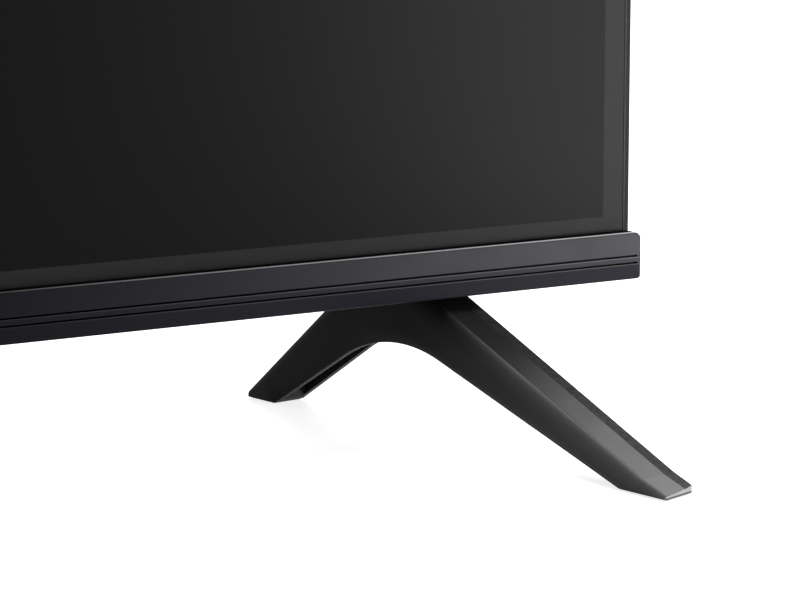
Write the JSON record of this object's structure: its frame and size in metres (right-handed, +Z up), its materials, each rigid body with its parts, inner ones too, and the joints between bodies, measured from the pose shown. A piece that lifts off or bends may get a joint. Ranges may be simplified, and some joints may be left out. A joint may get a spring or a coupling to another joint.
{
  "type": "flat screen television",
  "caption": "Slim-framed flat screen television with a grooved bar below the screen and splayed blade feet shaped like an upturned V.",
  "frame": {"origin": "on the floor plane under the rubber pads, midway between the two sides and midway along the depth of the feet", "axes": "+X to the right as the viewer sees the screen, +Y from the screen to the back, +Z up"},
  "size_m": [0.9648, 0.1976, 0.6065],
  "materials": {
    "panel_glass": "semi-gloss dark panel",
    "foam_tape": "soft",
    "bezel_black": "fine satin",
    "bar_black": "glossy black",
    "screw_black": "black zinc",
    "clear_film": "clear",
    "white_film": "matte white",
    "white_plastic": "matte",
    "tray_steel": "zinc-coated sheet",
    "strip_aluminium": "white-coated board",
    "clear_lens": "clear",
    "board_green": "solder mask",
    "board_tan": "bare laminate",
    "film_amber": "polyimide",
    "screw_steel": "zinc",
    "chip_black": "moulded",
    "sink_aluminium": "extruded",
    "socket_metal": "nickel-plated",
    "coil_yellow": "taped winding",
    "cap_black": "sleeved can",
    "speaker_black": "moulded",
    "cone_grey": "paper cone in a basket",
    "cover_black": "fine grain",
    "foot_black": "semi-gloss black",
    "pad_rubber": "soft",
    "window_dark": "dark tinted",
    "key_black": "satin",
    "lead_black": "insulated wire",
    "lead_white": "insulated wire",
    "ribbon_white": "flat flexible cable"
  },
  "bodies": {
    "set": {"antenna_socket": "socket_metal", "av_jack": "chip_black", "backlight_tray": "tray_steel", "bar_screws": "screw_black", "bezel_frame": "bezel_black", "board_headers": "white_plastic", "board_lead": "lead_white", "board_posts": "tray_steel", "bottom_bar": "bar_black", "capacitors": "cap_black", "cell_flexes": "film_amber", "cell_tape": "foam_tape", "chassis_screws": "screw_steel", "cover_screws": "screw_black", "diffuser_film": "white_film", "diffuser_plate": "white_film", "diffuser_posts": "clear_lens", "film_guide": "white_plastic", "foot_bracket_left": "tray_steel", "foot_bracket_right": "tray_steel", "foot_left": "foot_black", "foot_pads": "pad_rubber", "foot_right": "foot_black", "foot_screws": "screw_black", "hdmi_sockets": "socket_metal", "heat_sink": "sink_aluminium", "lan_socket": "socket_metal", "lcd_cell": "panel_glass", "led_lead": "lead_white", "light_lenses": "clear_lens", "light_strips": "strip_aluminium", "main_board": "board_green", "main_chips": "chip_black", "mains_inlet": "chip_black", "mains_leads": "lead_black", "mains_pins": "socket_metal", "power_board": "board_tan", "power_sinks": "sink_aluminium", "prism_film": "clear_film", "rear_cover": "cover_black", "reflector_sheet": "white_film", "screen_ribbon": "ribbon_white", "sensor_board": "board_green", "sensor_lead": "lead_black", "sensor_pod": "bezel_black", "sensor_window": "window_dark", "source_board": "board_green", "speaker_box_left": "speaker_black", "speaker_box_right": "speaker_black", "speaker_driver_left": "cone_grey", "speaker_driver_right": "cone_grey", "speaker_leads": "lead_black", "transformer": "coil_yellow", "usb_socket": "socket_metal", "vesa_standoffs": "tray_steel", "wifi_lead": "lead_black", "wifi_module": "board_green"},
    "key": {"power_key": "key_black"}
  },
  "joints": [
    {"name": "power_key_press", "type": "slide", "parent": "set", "child": "key", "axis": [0, 0, 1], "range_m": [0, 0.0006], "stiffness_N_per_m": 1500, "springref_m": -0.0004}
  ]
}
